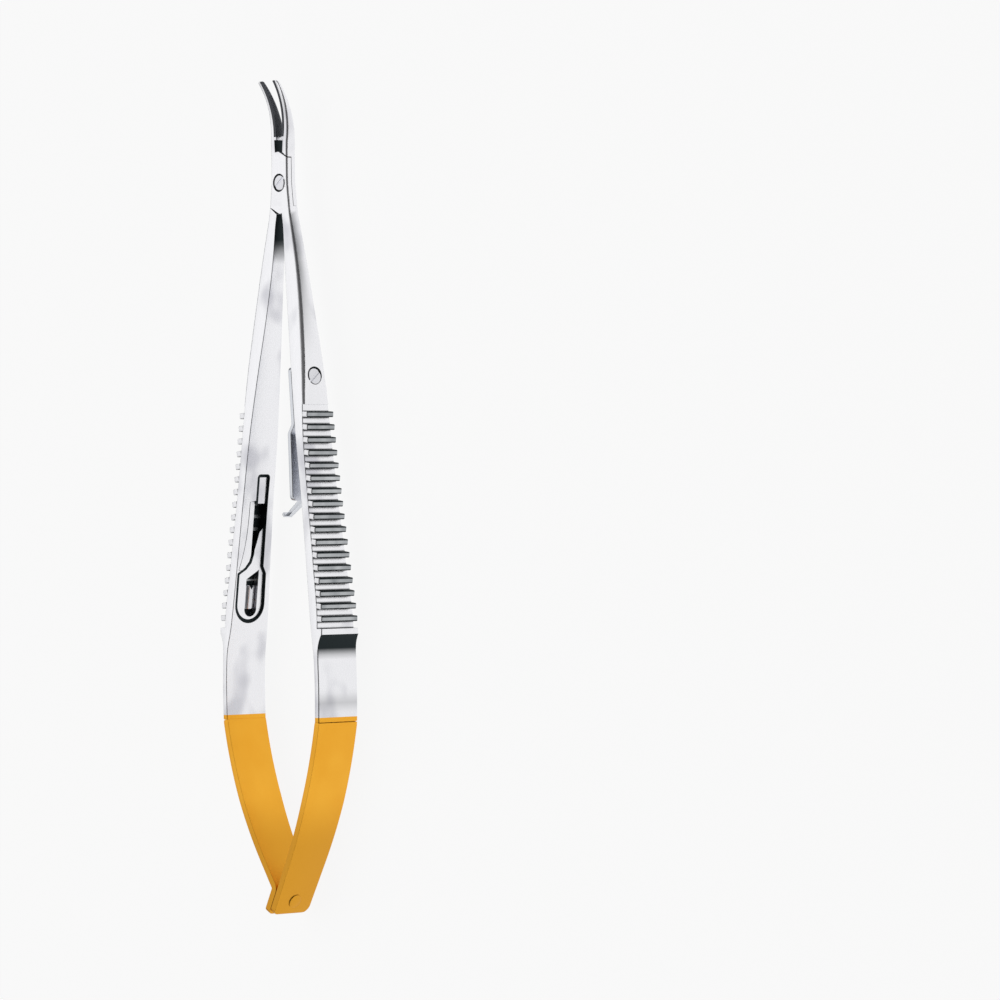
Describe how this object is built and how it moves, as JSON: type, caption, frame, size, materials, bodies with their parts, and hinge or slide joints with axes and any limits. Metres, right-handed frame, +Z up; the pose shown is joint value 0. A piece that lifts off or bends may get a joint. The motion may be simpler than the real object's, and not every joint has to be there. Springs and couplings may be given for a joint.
{
  "type": "micro needle holder",
  "caption": "Slender spring-handled needle holder with a screw lap joint, curved carbide-lined jaws, ribbed finger grips, a hooked leaf lock with its catch and a lapped leaf-spring tail.",
  "frame": {"origin": "centre of the bounding box's base, on the table that the instrument lies on by the edges of its handles", "axes": "+Y along the instrument from the spring tail to the jaw tips; +X across it, from the plain catch handle to the handle with the lock leaf; +Z up, along the jaw pivot"},
  "size_m": [0.0266, 0.1397, 0.0085],
  "materials": {
    "satin_steel": "fine satin stainless steel",
    "tungsten_carbide": "dark grey tungsten carbide with a fine crosswise grip",
    "screw_steel": "smooth stainless steel",
    "spring_steel": "polished spring steel",
    "gold_plated_spring": "satin gold plating on spring steel"
  },
  "bodies": {
    "left_half": {"left_handle": "satin_steel", "right_jaw_insert": "tungsten_carbide", "pivot_screw": "screw_steel", "catch_saddle": "screw_steel", "left_spring_leaf": "gold_plated_spring", "tail_rivet": "gold_plated_spring"},
    "right_half": {"right_handle": "satin_steel", "left_jaw_insert": "tungsten_carbide", "lock_screw": "screw_steel", "right_spring_leaf": "gold_plated_spring"},
    "lock": {"lock_spring": "spring_steel"}
  },
  "joints": [
    {"name": "jaw_pivot", "type": "hinge", "parent": "left_half", "child": "right_half", "pos_m": [0, 0.05286, 0.00425], "axis": [0, 0, -1], "range_deg": [0, 8.5], "stiffness_Nm_per_rad": 1.2, "deforming": ["left_spring_leaf", "right_spring_leaf"]},
    {"name": "lock_swing", "type": "hinge", "parent": "right_half", "child": "lock", "pos_m": [0.00759, 0.02026, 0.00425], "axis": [-0.9875, -0.1576, 0], "range_deg": [0, 2.5], "stiffness_Nm_per_rad": 0.01}
  ]
}
